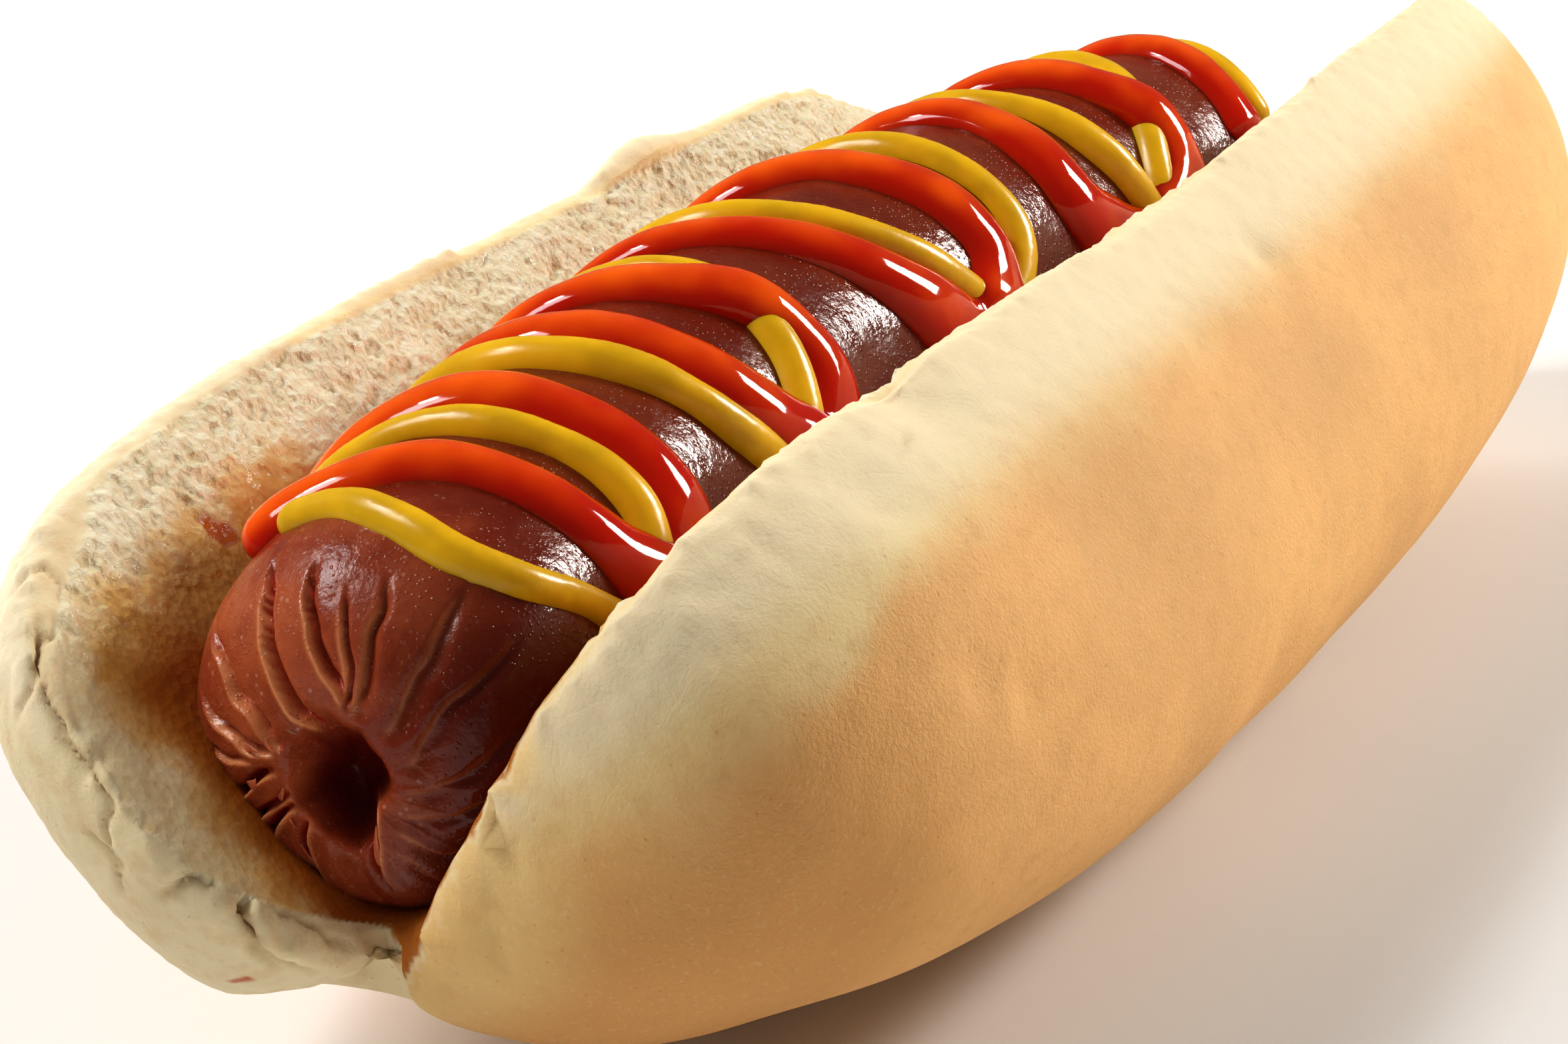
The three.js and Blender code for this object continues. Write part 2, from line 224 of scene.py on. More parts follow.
FLESH = {
    # The skin's pale fleck colours are partly painted glints.
    "dark": (0.225, 0.030, 0.010), "light": (0.44, 0.108, 0.040), "speck": (0.60, 0.32, 0.22),
    "grain": (0.48, 0.17, 0.09), "shaded": (0.105, 0.007, 0.002), "slit": (0.42, 0.012, 0.003),
    # The colour deep in the hole is painted shade over its redder flesh.
    # The colour of the casing edges is partly paler casing, partly painted highlight.
    "lip": (0.72, 0.30, 0.13), "deep": (0.20, 0.014, 0.008),
}
CASING = ((0.36, 0.09, 0.04), (0.52, 0.18, 0.085))
# Colour of the ketchup's painted shade.
DEEP_KETCHUP = (0.50, 0.014, 0.001)
FLOOR_GREY = (0.78, 0.78, 0.78)
WORLD_COLOUR, WORLD_STRENGTH = (1, 0.95, 0.88, 1), 0.13

# Lights: name, place, size, power, colour, and whether it shows in gloss; in metres and watts.
LIGHTS = [
    ("key", (0.46, -0.33, 0.29), (0.16, 0.16), 3.15, (1, 0.95, 0.88), True),
    ("side", (0.20, 0.45, 0.19), (0.12, 0.26), 1.6, (1, 0.97, 0.93), False),
    ("left pane", (-0.20, 0.24, 0.42), (0.14, 0.16), 1.0, (1, 1, 1), True),
    ("right pane", (-0.11, 0.24, 0.42), (0.045, 0.06), 0.4, (1, 1, 1), True),
    ("fill", (-0.34, 0.36, 0.32), (0.30, 0.30), 0.5, (1, 0.96, 0.90), False),
    ("low fill", (-0.10, -0.40, 0.06), (0.25, 0.09), 0.15, (1, 0.97, 0.93), False),
]
LIT_SPOT = (-0.01, 0, 0.025)
CAMERA = {
    "place": (-231.03, -116.22, 108.95), "forward": (0.8251, 0.4552, -0.3345),
    "up": (0.3306, 0.0909, 0.9394), "lens": 81.38, "sensor_width": 36,
}

# ------------------------------------------------------------------ noise


def lattice(cells, seed):
    """A repeatable value from 0 to 1 for each whole-numbered cell."""
    x, y, z = (cells[..., k].astype(np.int64) for k in range(3))
    mixed = (x * 73856093) ^ (y * 19349663) ^ (z * 83492791) ^ (seed * 26544357)
    mixed = ((mixed ^ (mixed >> 13)) * 1274126177) & 0x7FFFFFFF
    mixed = ((mixed ^ (mixed >> 15)) * 2246822519) & 0x7FFFFFFF
    return (mixed & 0xFFFFF) / float(0xFFFFF)


def smooth_noise(points, size, seed):
    """Noise from -1 to 1 whose lumps are about size wide."""
    place = points / size
    base = np.floor(place)
    share = place - base
    share = share * share * share * (share * (share * 6 - 15) + 10)
    total = np.zeros(len(points))
    for corner in np.ndindex(2, 2, 2):
        weight = np.prod(np.where(np.array(corner), share, 1 - share), axis=1)
        total += weight * lattice(base + np.array(corner), seed)
    return 2 * total - 1


def fractal_noise(points, size, seed, octaves=3, gain=0.5):
    """Smooth noise with finer octaves added to it, about -1 to 1."""
    total, weight, reach = np.zeros(len(points)), 1.0, 0.0
    for octave in range(octaves):
        total += weight * smooth_noise(points, size / 2 ** octave, seed + 31 * octave)
        reach += weight
        weight *= gain
    return total / reach


def drift(points, size, seed):
    """Noise as an offset along x, y and z."""
    return np.stack([smooth_noise(points, size, seed + k) for k in range(3)], axis=1)


def on_ring(turn, size, along):
    """Places on a ring, where noise closes on itself."""
    return np.stack([size * np.cos(turn), size * np.sin(turn), along], axis=1)


def on_line(along):
    """Places on a line, for noise along it."""
    return np.pad(along[:, None], ((0, 0), (0, 2)))


def ramp(value, low, high):
    """0 below low, 1 above high, and smooth between them."""
    share = np.clip((value - low) / (high - low), 0, 1)
    return share * share * (3 - 2 * share)


def bell(value, width):
    """1 at 0, and falling away to both sides within about width."""
    return np.exp(-(value / width) ** 2)


def signed_power(value, power):
    return np.sign(value) * np.abs(value) ** power


def unit(vectors):
    """The vectors, a row each, at a length of 1."""
    return vectors / np.maximum(np.linalg.norm(vectors, axis=1, keepdims=True), 1e-9)


def in_box(points, low, high):
    return ((points > low) & (points < high)).all(axis=1)


# ------------------------------------------------------------------ modelling


def clear_selection():
    if bpy.context.object and bpy.context.object.mode != "OBJECT":
        bpy.ops.object.mode_set(mode="OBJECT")
    bpy.ops.object.select_all(action="DESELECT")


def pick(piece):
    clear_selection()
    piece.select_set(True)
    bpy.context.view_layer.objects.active = piece


def read_vectors(piece, field):
    values = np.empty(len(piece.data.vertices) * 3, np.float32)
    piece.data.vertices.foreach_get(field, values)
    return values.reshape(-1, 3).astype(float)


def read_points(piece):
    """The piece's vertices in millimetres."""
    return read_vectors(piece, "co") / MM


def write_points(piece, points):
    piece.data.vertices.foreach_set("co", (points * MM).astype(np.float32).ravel())
    piece.data.update()


def write_attributes(piece, **fields):
    """Values for each vertex, which the piece's material reads by name."""
    for name, values in fields.items():
        layer = piece.data.attributes.new(name, "FLOAT", "POINT")
        layer.data.foreach_set("value", values.astype(np.float32))


def face_outwards(piece):
    pick(piece)
    bpy.ops.object.mode_set(mode="EDIT")
    bpy.ops.mesh.select_all(action="SELECT")
    bpy.ops.mesh.normals_make_consistent(inside=False)
    bpy.ops.object.mode_set(mode="OBJECT")


def add_skin(name, rows, columns, place):
    """A sphere whose vertices are moved to place(share, turn): share runs from pole to pole."""
    clear_selection()
    bpy.ops.mesh.primitive_uv_sphere_add(segments=columns, ring_count=rows, radius=1)
    piece = bpy.context.object
    piece.name = piece.data.name = name
    ball = read_points(piece) * MM
    share = np.round(np.arccos(np.clip(-ball[:, 2], -1, 1)) / math.pi * rows) / rows
    turn = np.where(np.hypot(ball[:, 0], ball[:, 1]) < 1e-4, 0, np.arctan2(ball[:, 1], ball[:, 0]))
    write_points(piece, place(share, turn))
    face_outwards(piece)
    return piece


def apply_modifier(piece, kind, **settings):
    pick(piece)
    modifier = piece.modifiers.new(kind.title(), kind)
    for key, value in settings.items():
        setattr(modifier, key, value)
    bpy.ops.object.modifier_apply(modifier=modifier.name)


def melt(piece, voxel):
    """Makes one skin of the piece, of squares about voxel wide."""
    apply_modifier(piece, "REMESH", mode="VOXEL", voxel_size=voxel, use_smooth_shade=True)


def relax(piece, times, **settings):
    apply_modifier(piece, "SMOOTH", factor=0.5, iterations=times, **settings)


def join(name, *pieces):
    clear_selection()
    for piece in pieces:
        piece.select_set(True)
    bpy.context.view_layer.objects.active = pieces[0]
    bpy.ops.object.join()
    joined = bpy.context.object
    joined.name = joined.data.name = name
    return joined


def refine(piece, chosen, cuts=1):
    """Subdivides the faces whose vertices are all chosen."""
    pick(piece)
    mesh = piece.data
    bpy.ops.object.mode_set(mode="EDIT")
    bpy.ops.mesh.select_mode(type="FACE")
    bpy.ops.mesh.select_all(action="DESELECT")
    bpy.ops.object.mode_set(mode="OBJECT")
    corners = np.empty(len(mesh.loops), np.int32)
    mesh.loops.foreach_get("vertex_index", corners)
    starts = np.empty(len(mesh.polygons), np.int32)
    mesh.polygons.foreach_get("loop_start", starts)
    picked = np.minimum.reduceat(chosen[corners].astype(np.int8), starts).astype(bool)
    mesh.polygons.foreach_set("select", picked)
    mesh.update()
    bpy.ops.object.mode_set(mode="EDIT")
    bpy.ops.mesh.subdivide(number_cuts=cuts, smoothness=0)
    bpy.ops.object.mode_set(mode="OBJECT")


def finish_piece(piece, material, node):
    """Smooth shading, its material, and its place in the frame."""
    piece.data.materials.clear()
    piece.data.materials.append(material)
    pick(piece)
    bpy.ops.object.shade_smooth()
    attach(piece, "root")
    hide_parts(node)


# ------------------------------------------------------------------ frankfurter


def frank_frame(x):
    """Centre, left and up of the frankfurter's section, for places along it from its middle."""
    half = FRANK["length"] / 2
    share = x / half
    middle = np.array(FRANK["middle"])
    centre = middle + np.stack(
        [x, FRANK["end_swing"] * share ** 2, -FRANK["end_drop"] * share ** 2], axis=1
    )
    ahead = unit(np.stack([
        np.ones_like(x),
        2 * FRANK["end_swing"] * share / half,
        -2 * FRANK["end_drop"] * share / half,
    ], axis=1))
    left = unit(np.cross(np.array([0.0, 0.0, 1.0]), ahead))
    return centre, left, np.cross(ahead, left)


def around_frank(x, angle, radius):
    """Points at a radius off the axis; the angle is 0 on top and grows towards -Y."""
    centre, left, up = frank_frame(x)
    aside = (radius * np.cos(angle))[:, None] * up
    return centre + aside - (radius * np.sin(angle))[:, None] * left


def frank_radius(x):
    into = np.maximum(0, np.abs(x) - FRANK["length"] / 2 + FRANK["cap_length"])
    share = np.minimum(1, into / FRANK["cap_length"])
    return FRANK["diameter"] / 2 * np.sqrt(np.maximum(0, 1 - share ** FRANK["cap_power"]))


def frank_polar(points):
    """Place along the frankfurter from its middle, angle round it, and distance off its axis."""
    x = points[:, 0] - FRANK["middle"][0]
    centre, left, up = frank_frame(x)
    away = points - centre
    aside, above = (away * left).sum(1), (away * up).sum(1)
    return x, np.arctan2(-aside, above), np.hypot(aside, above)


def frank_profile():
    """The skin's meridian from pole to pole: length along it, place along the axis, radius."""
    half, cap, power = FRANK["length"] / 2, FRANK["cap_length"], FRANK["cap_power"]
    angle = np.linspace(0, math.pi / 2, 400)
    x = half - cap + cap * np.cos(angle) ** (2 / power)
    radius = FRANK["diameter"] / 2 * np.sin(angle)
    x = np.concatenate([-x, x[::-1]])
    radius = np.concatenate([radius, radius[::-1]])
    reach = np.concatenate([[0], np.cumsum(np.hypot(np.diff(x), np.diff(radius)))])
    return reach, x, radius


def profile_at(reach):
    """Place along the axis and radius, at a distance along the skin."""
    lengths, x, radius = frank_profile()
    return np.array([np.interp(reach, lengths, x), np.interp(reach, lengths, radius)])


def run_and_rise(reach, step):
    """How far the skin runs along the axis and rises off it, from a step before to one after."""
    return profile_at(reach + step) - profile_at(reach - step)


def pleat_relief(reach, turn, radius):
    """Height of the tied end's pleats, the share of their casing edges painted lighter, partly as painted
    highlight, and how deep inside a recess.
    """
    relief, lip, slit = np.zeros_like(reach), np.zeros_like(reach), np.zeros_like(reach)
    near = np.flatnonzero((reach < PLEATED) & (radius > 1))
    for knots, depth, width, edge in PLEATS:
        line = catmull_rom([(along, angle * SKIN_PER_DEGREE) for along, angle in knots], 0.12)
        line[:, 1] = np.radians(line[:, 1] / SKIN_PER_DEGREE)
        seed = int(40 * depth + 9 * width)
        line[:, 1] += 0.015 * smooth_noise(on_line(line[:, 0]), 1.4, seed)
        ahead = reach[near][:, None] - line[None, :, 0]
        aside = (turn[near][:, None] - line[None, :, 1] + math.pi) % (2 * math.pi) - math.pi
        aside *= radius[near][:, None]
        away = np.hypot(ahead, aside)
        nearest = away.argmin(axis=1)
        rows = np.arange(len(near))
        along = nearest / (len(line) - 1)
        run = np.gradient(line[:, 0])[nearest]
        sweep = np.gradient(line[:, 1])[nearest] * radius[near]
        past = (ahead[rows, nearest] * sweep - aside[rows, nearest] * run) / np.hypot(run, sweep)
        beyond = np.sqrt(np.maximum(away[rows, nearest] ** 2 - past ** 2, 0))
        fade = ramp(along, -0.02, 0.4) * (1 - 0.5 * ramp(along, 0.85, 1.0))
        fade *= bell(np.maximum(beyond - 0.1, 0), 0.5)
        wide = 0.62 * width * (0.4 + 0.85 * along)
        steep = 0.08 + 0.5 * (1 - edge) * wide
        recess = bell(past, np.where(past > 0, wide, steep))
        swell = np.exp(np.minimum(past, 0) / 0.55) * np.where(past > 0, bell(past, steep), 1)
        relief[near] += fade * (0.30 * edge * swell - depth * recess)
        thin = bell(past + 0.18, 0.2)
        lip[near] = np.maximum(lip[near], edge * thin * ramp(along, 0.1, 0.5) * np.minimum(1, 2 * fade))
        red = min(1, depth) * edge ** 2 * fade * recess
        slit[near] = np.maximum(slit[near], np.where(past > -0.1, red, 0))
    return relief, lip, slit


def navel_depth(radius, turn):
    """How far the tied end is drawn in: an uneven hole in a shallow dimple."""
    angles, rims, powers = np.array(NAVEL_RIM).T
    uneven = 1 + 0.10 * smooth_noise(on_ring(turn, 2.6, 0.2 * radius), 1, 48)
    rim = np.interp(np.degrees(turn), angles, rims) * uneven
    share = np.minimum(radius / rim, 2)
    hole = 1 - share ** np.interp(np.degrees(turn), angles, powers)
    hole = 0.5 * (hole + np.sqrt(hole ** 2 + 0.02))
    return NAVEL["depth"] * hole + NAVEL["dimple"] * bell(radius, NAVEL["dimple_width"])


def reach_rows(share, total):
    """Distance along the skin for each row, closest together at the tied end."""
    dense = 0.62
    spread = PLEATED + (share - dense) / (1 - dense) * (total - PLEATED)
    return np.where(share < dense, share / dense * PLEATED, spread)


def frank_relief(reach, turn, radius, total):
    """Height of the skin's pleats, puckers and unevenness, with casing edges painted lighter, partly as
    painted highlight, and recesses.
    """
    relief, lip, slit = pleat_relief(reach, turn, radius)
    rest = around_frank(reach, turn, radius)
    relief += 0.30 * fractal_noise(rest, 14, 41, 2) + 0.10 * smooth_noise(rest, 4.0, 43)
    puckers = 0.6 - np.abs(smooth_noise(on_ring(turn, 3.6, 0.10 * reach), 1, 45)) ** 0.8
    fine_puckers = 0.5 - np.abs(smooth_noise(on_ring(turn, 9, 0.16 * reach), 1, 46)) ** 0.8
    puckers += 0.35 * fine_puckers
    gathered = 0.08 + 0.30 * ramp(np.sin(turn - 0.9), -0.3, 0.5)
    relief += gathered * puckers * ramp(radius, 1.8, 4.5) * (1 - ramp(reach, 8, 17))
    far = total - reach
    gathers = (0.5 + 0.5 * np.cos(11 * turn + 1)) ** 2
    relief -= 0.5 * gathers * ramp(far, 1, 5) * (1 - ramp(far, 8, 18))
    return relief, lip, slit


def make_frankfurter():
    """The frankfurter, tied and pleated at its near end and plainly rounded at its far one."""
    total = frank_profile()[0][-1]
    kept = {}

    def skin(share, turn):
        reach = reach_rows(share, total)
        x, radius = profile_at(reach)
        ahead_x, ahead_r = run_and_rise(reach, 0.05)
        size = np.maximum(np.hypot(ahead_x, ahead_r), 1e-9)
        pole = radius < 1e-6
        relief, kept["lip"], kept["slit"] = frank_relief(reach, turn, radius, total)
        relief = np.where(pole, 0, relief)
        relief *= np.where(x < 0, ramp(radius, 1.5, 3.4), 1)
        hollow = np.where(x < 0, navel_depth(radius, turn), -3 * bell(radius, 2.4))
        # Painted shade on the side towards -Y near the tied end, and a darker body beyond the tied end.
        side = 0.9 * ramp(turn, 0.0, 1.0) * (1 - 0.6 * ramp(turn, 2.4, 3.1)) * ramp(reach, 2, 9)
        kept["dark"] = np.maximum(side, 0.72 * ramp(reach, 14, 23))
        # Painted shade deep in the drawn-in hole, over its redder flesh.
        kept["deep"] = ramp(hollow, 1.2, 5.6) * (x < 0)
        away = np.maximum(radius + ahead_x / size * relief, 0)
        points = around_frank(x - ahead_r / size * relief + hollow, turn, np.where(pole, 0, away))
        points[:, 1:] += np.outer(np.maximum(hollow - NAVEL["dimple"], 0), NAVEL["slant"])
        return points

    piece = add_skin("frankfurter", *FRANK_MESH, skin)
    write_attributes(piece, **kept)
    return piece


def skin_spot(place):
    """A point on the tied end's skin and the direction out of it."""
    reach, turn = place[0], np.radians([float(place[1])])
    x, radius = profile_at(reach)
    hollow = navel_depth(np.array([radius]), turn)[0]
    spot = around_frank(np.array([x + hollow]), turn, np.array([radius]))[0]
    spot[1:] += max(hollow - NAVEL["dimple"], 0) * np.array(NAVEL["slant"])
    ahead, rise = run_and_rise(reach, 0.1)
    outward = around_frank(np.array([x]), turn, np.array([1.0]))[0]
    outward -= around_frank(np.array([x]), turn, np.array([0.0]))[0]
    normal = ahead * outward - np.array([rise, 0, 0])
    return spot, normal / np.linalg.norm(normal)


def make_flaps():
    """Small curled bits of casing beside the pleats."""
    pieces = []
    for index, (root_place, tip_place, width, lift) in enumerate(FLAPS):
        root, normal = skin_spot(root_place)
        tip, _ = skin_spot(tip_place)
        root = root - 0.3 * normal
        ahead = tip - root
        wide = np.cross(normal, ahead / np.linalg.norm(ahead))

        def petal(share, turn):
            along = 0.5 - 0.5 * np.cos(math.pi * share)
            half = 0.5 * width * np.sin(math.pi * share) ** 0.8 * (1 - 0.75 * along)
            across = half * np.cos(turn) + 0.12 * width * np.sin(5 * share + index)
            thick = 0.07 * np.sin(turn) * np.sin(math.pi * share)
            height = 0.3 + lift * np.sin(math.pi * 0.62 * along) + 0.35 * across ** 2 / width + thick
            return root + np.outer(along, ahead) + np.outer(across, wide) + np.outer(height, normal)

        pieces.append(add_skin("flap", *FLAP_MESH, petal))
    return join("casing_flaps", *pieces)


# ------------------------------------------------------------------ sauce


def catmull_rom(knots, step):
    """A centripetal curve through the knots, as points about step apart."""
    knots = np.array(knots, float)
    knots = np.vstack([2 * knots[0] - knots[1], knots, 2 * knots[-1] - knots[-2]])
    gaps = np.linalg.norm(np.diff(knots, axis=0), axis=1) ** 0.5
    times = np.concatenate([[0], np.cumsum(gaps)])
    found = []

    def between(first, second, start, end):
        return (end - t) / (end - start) * first + (t - start) / (end - start) * second

    for k in range(1, len(knots) - 2):
        t0, t1, t2, t3 = times[k - 1:k + 3]
        p0, p1, p2, p3 = knots[k - 1:k + 3]
        count = max(2, int(np.linalg.norm(p2 - p1) / step))
        t = np.linspace(t1, t2, count, endpoint=False)[:, None]
        middle = between(p1, p2, t1, t2)
        before = between(between(p0, p1, t0, t1), middle, t0, t2)
        after = between(middle, between(p2, p3, t2, t3), t1, t3)
        found.append(between(before, after, t1, t2))
    return np.vstack(found + [knots[-2:-1]])


def bead_route(sauce, step=0.5):
    """The bead's middle as (place along the frankfurter, angle round it)."""
    route = []
    for index, (left, top, right) in enumerate(sauce["strands"]):
        strand = [(left, -sauce["strand_angle"]), (top, 0), (right, sauce["strand_angle"])]
        if index == 0 and sauce["start"]:
            strand = sauce["start"] + strand[2:]
        if index % 2:
            strand.reverse()
        if index:
            before, side = route[-1]
            route.append(((before + strand[0][0]) / 2, math.copysign(sauce["turn_angle"], side)))
        route += strand
    across = FRANK["diameter"] / 2
    flat = [(x - FRANK["middle"][0], math.radians(angle) * across) for x, angle in route]
    smooth = catmull_rom(flat, step)
    return smooth[:, 0], smooth[:, 1] / across


def bead_points(sauce, under=None):
    """The bead's middle line, lifted where it crosses the points under it."""
    x, angle = bead_route(sauce)
    away = frank_radius(x) + sauce["lift"]
    points = around_frank(x, angle, away)
    if under is None:
        return points, angle
    gap = np.linalg.norm(points[:, None] - under[None], axis=2).min(axis=1)
    return around_frank(x, angle, away + 0.8 * bell(gap, 2.2)), angle


def make_bead(name, sauce, voxel, seed, under=None):
    """A squeezed bead of sauce, slumped a little, its crossings melted together."""
    middle, angle = bead_points(sauce, under)
    ahead = unit(np.gradient(middle, axis=0))
    x, turn, _ = frank_polar(middle)
    _, left, up = frank_frame(x)
    outward = np.cos(turn)[:, None] * up - np.sin(turn)[:, None] * left
    across = unit(np.cross(ahead, outward))
    length = np.concatenate([[0], np.cumsum(np.linalg.norm(np.diff(middle, axis=0), axis=1))])
    swollen = 1 + sauce["uneven"] * fractal_noise(on_line(length), 12, seed, 2)
    pooled = 1 + sauce["pooled"] * bell(np.degrees(angle) - POOL_ANGLE, POOL_SPREAD)
    swollen *= sauce["start_size"] + (1 - sauce["start_size"]) * ramp(length, 18, 36)
    from_end = np.minimum(length, length[-1] - length)
    rounded = np.sqrt(np.clip(1 - (1 - np.minimum(from_end / 1.7, 1)) ** 2, 0, 1))
    count = len(middle) - 1

    def tube(share, turn):
        index = np.round(share * count).astype(int)
        size = (swollen * rounded)[index]
        low = np.maximum(0, -np.sin(turn))
        aside = size * pooled[index] * sauce["width"] / 2 * np.cos(turn) * (1 + 0.3 * low)
        above = size * sauce["height"] / 2 * np.sin(turn)
        return middle[index] + across[index] * aside[:, None] + outward[index] * above[:, None]

    piece = add_skin(name, count, BEAD_COLUMNS, tube)
    melt(piece, voxel)
    relax(piece, 7)
    points = read_points(piece)
    uneven = 0.10 * fractal_noise(points, 4.5, seed + 5, 2)
    points += read_vectors(piece, "normal") * uneven[:, None]
    write_points(piece, points)
    x, turn, away = frank_polar(points)
    # Painted light and shade: the bead is lighter where it stands higher off the skin, and darker on its
    # side towards -Y.
    over = ramp(away - frank_radius(x), 0.0, 0.55 * sauce["height"])
    write_attributes(piece, over=over, shaded=ramp(turn, -0.2, 1.1))
    return piece


# ------------------------------------------------------------------ roll


def end_rise(piece, along):
    return np.where(along < 0, piece["front_rise"], piece["far_rise"]) * along ** 2


def end_taper(along, power):
    return np.maximum(0, 1 - np.abs(along) ** power) ** (1 / power)


def half_lean(half, along):
    fallen = ramp(along, OPENING_FROM, OPENING_TO)
    return np.radians(half["lean"] + half["opening"] * fallen)


def half_skin(half, share, turn):
    """One half of the roll: a flat cut face with a domed crust behind it."""
    along = -np.cos(math.pi * share)
    taper = end_taper(along, half["end_power"])
    lean = half_lean(half, along)
    power = 2 / half["section_power"]
    up = half["breadth_middle"] + half["tip_shift"] * (1 - taper)
    up = up + half["breadth"] / 2 * signed_power(np.cos(turn), power) * taper
    depth = signed_power(np.sin(turn), power) * taper
    out = depth * np.where(depth > 0, half["thickness"], FACE_SWELL)
    y, z = half["hinge"]
    aside = half["side"] * (up * np.sin(lean) + out * np.cos(lean))
    return np.stack([
        half["middle"] + half["length"] / 2 * along,
        y + aside + half["end_swing"] * along ** 2,
        z + up * np.cos(lean) - out * np.sin(lean) + end_rise(half, along),
    ], axis=1)


def half_frame(half, points):
    """Place along a half from -1 to 1, height up its cut face, and distance behind it."""
    along = np.clip((points[:, 0] - half["middle"]) / (half["length"] / 2), -1, 1)
    lean = half_lean(half, along)
    y, z = half["hinge"]
    aside = (points[:, 1] - y - half["end_swing"] * along ** 2) * half["side"]
    above = points[:, 2] - z - end_rise(half, along)
    up = aside * np.sin(lean) + above * np.cos(lean)
    out = aside * np.cos(lean) - above * np.sin(lean)
    return along, up, out


def hinge_skin(share, turn):
    along = -np.cos(math.pi * share)
    taper = end_taper(along, HINGE["end_power"])
    power = 2 / HINGE["section_power"]
    across = signed_power(np.cos(turn), power) * taper
    above = signed_power(np.sin(turn), power) * taper
    y, z = HINGE["centre"]
    return np.stack([
        HINGE["middle"] + HINGE["length"] / 2 * along,
        y + HINGE["width"] / 2 * across + HINGE["end_swing"] * along ** 2,
        z + HINGE["height"] / 2 * above + end_rise(HINGE, along),
    ], axis=1)


def roll_masks(points):
    """How far behind the cut a point lies, and how high up the nearer cut face."""
    _, up_right, out_right = half_frame(RIGHT_HALF, points)
    _, up_left, out_left = half_frame(LEFT_HALF, points)
    behind = np.maximum(out_right, out_left)
    right_nearer = out_right > out_left
    return behind, np.where(right_nearer, up_right, up_left), right_nearer


def press_frank(points, sink):
    """Moves what lies inside the frankfurter out to its skin, less sink."""
    x, angle, away = frank_polar(points)
    skin = frank_radius(x) - sink
    inside = (away < skin) & (np.abs(x) < FRANK["length"] / 2)
    pressed = around_frank(x, angle, np.maximum(skin, 0))
    return np.where(inside[:, None], pressed, points), inside


def inside_outline(half, points):
    """How far inside a half's outline a point lies, below its rim and above its lower edge."""
    along, up, out = half_frame(half, points)
    taper = end_taper(along, half["end_power"])
    middle = half["breadth_middle"] + half["tip_shift"] * (1 - taper)
    reach = half["breadth"] / 2 * taper
    near = out > -3
    return np.where(near, middle + reach - up, 50), np.where(near, up - middle + reach, 50)


def below_rim(points):
    """How far below the rim of the nearer half a point lies."""
    return np.minimum(*(inside_outline(half, points)[0] for half in (RIGHT_HALF, LEFT_HALF)))


def bare_crumb(points, depth, height, cover):
    """Points of the cut faces that show, up to a depth, clear of the frankfurter."""
    behind, up, _ = roll_masks(points)
    _, _, away = frank_polar(points)
    return (behind < depth) & (up > height) & (away > FRANK["diameter"] / 2 - cover)


def make_roll(voxel):
    """The roll: two halves and the hinge between them, melted together and then shaped."""
    right = add_skin("right", *HALF_MESH, lambda share, turn: half_skin(RIGHT_HALF, share, turn))
    left = add_skin("left", *HALF_MESH, lambda share, turn: half_skin(LEFT_HALF, share, turn))
    hinge = add_skin("hinge", *HINGE_MESH, hinge_skin)
    roll = join("split_roll", right, left, hinge)
    melt(roll, voxel)

    behind, up, _ = roll_masks(read_points(roll))
    soften = roll.vertex_groups.new(name="soften")
    weight = np.round(ramp(behind, 0.8, 3.0) * (1 - ramp(up, 8, 18)), 1)
    for level in np.unique(weight):
        soften.add(np.flatnonzero(weight == level).tolist(), float(level), "REPLACE")
    relax(roll, 25, vertex_group="soften")
    relax(roll, 2)
    roll.vertex_groups.clear()

    points = read_points(roll)
    _, _, right_nearer = roll_masks(points)
    right_top = in_box(points, *RIGHT_TOP) & right_nearer
    refine(roll, bare_crumb(points, 1.5, 3, 1.2) | in_box(points, *LEFT_FRONT) | right_top)
    points = read_points(roll)
    behind, _, right_nearer = roll_masks(points)
    left_crumb = bare_crumb(points, 0.7, 9, 0.6) & ~right_nearer
    ragged_rim = (below_rim(points) < 1.4) & (behind < 1.6)
    refine(roll, left_crumb | ragged_rim | in_box(points, *LEFT_TIP) | in_box(points, *CLEFT))
    relax(roll, 4)
    shape_roll(roll)
    return roll


def trace(roll, line, seed):
    """A wandering line of points on the crust, near the given ones."""
    knots = catmull_rom(line, 0.35)
    knots += 0.4 * drift(knots, 1.2, seed)
    return np.array([roll.closest_point_on_mesh(Vector(knot) * MM)[1] for knot in knots]) / MM


def beside(points, normals, traced, reach):
    """Points near a traced line: which, how far off it, on which side, and how far from its ends."""
    near = np.flatnonzero(in_box(points, traced.min(0) - reach, traced.max(0) + reach))
    gap = points[near][:, None] - traced[None]
    away = np.linalg.norm(gap, axis=2)
    nearest = away.argmin(axis=1)
    rows = np.arange(len(near))
    across = unit(np.cross(normals[near], np.gradient(traced, axis=0)[nearest]))
    side = (gap[rows, nearest] * across).sum(axis=1)
    fade = np.sin(math.pi * np.clip((nearest + 1) / (len(traced) + 1), 0, 1)) ** 0.6
    return near, away[rows, nearest], side, fade


